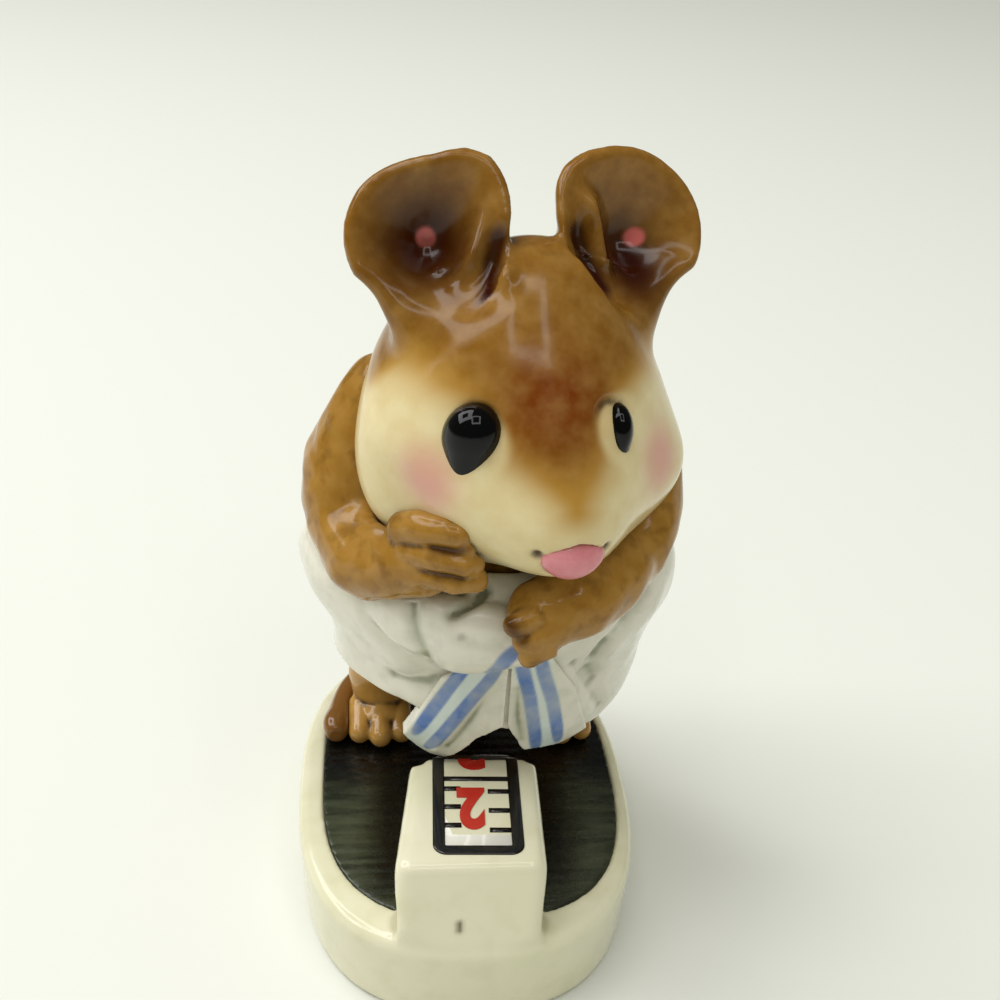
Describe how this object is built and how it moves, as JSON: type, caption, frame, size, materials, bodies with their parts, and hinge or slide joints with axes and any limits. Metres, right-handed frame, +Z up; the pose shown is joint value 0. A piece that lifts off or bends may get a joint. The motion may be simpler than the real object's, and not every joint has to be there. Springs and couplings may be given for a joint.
{
  "type": "mouse figurine",
  "caption": "Glazed ceramic mouse wrapped in a towel, standing on a bathroom scale and bending to read its dial; rests on a flat base.",
  "frame": {"origin": "middle of the scale's flat underside", "axes": "+Z up through the figure, -Y the way the mouse faces over the dial, +X to the mouse's left"},
  "size_m": [0.0293, 0.0374, 0.0592],
  "materials": {
    "scale_glaze": "cream gloss glaze",
    "mat_glaze": "black-green brushed underglaze under gloss",
    "bezel_glaze": "black gloss glaze",
    "card_glaze": "white gloss glaze with painted dial marks",
    "towel_glaze": "white gloss glaze with grey-green wash in the folds",
    "stripe_glaze": "white gloss glaze with painted blue stripes",
    "fur_glaze": "brown to cream sprayed underglaze under gloss",
    "paw_glaze": "brown washed underglaze under gloss",
    "eye_glaze": "black gloss glaze",
    "nose_glaze": "pink gloss glaze"
  },
  "bodies": {
    "root": {"scale_body": "scale_glaze", "tread_mat": "mat_glaze", "dial_bezel": "bezel_glaze", "dial_card": "card_glaze", "torso": "fur_glaze", "towel_wrap": "towel_glaze", "towel_fold": "towel_glaze", "towel_end_right": "stripe_glaze", "towel_end_left": "stripe_glaze", "arm_right": "fur_glaze", "arm_left": "fur_glaze", "head": "fur_glaze", "ear_right": "fur_glaze", "ear_left": "fur_glaze", "eye_right": "eye_glaze", "eye_left": "eye_glaze", "nose": "nose_glaze", "foot_right": "paw_glaze", "foot_left": "paw_glaze", "tail": "paw_glaze"}
  },
  "joints": []
}
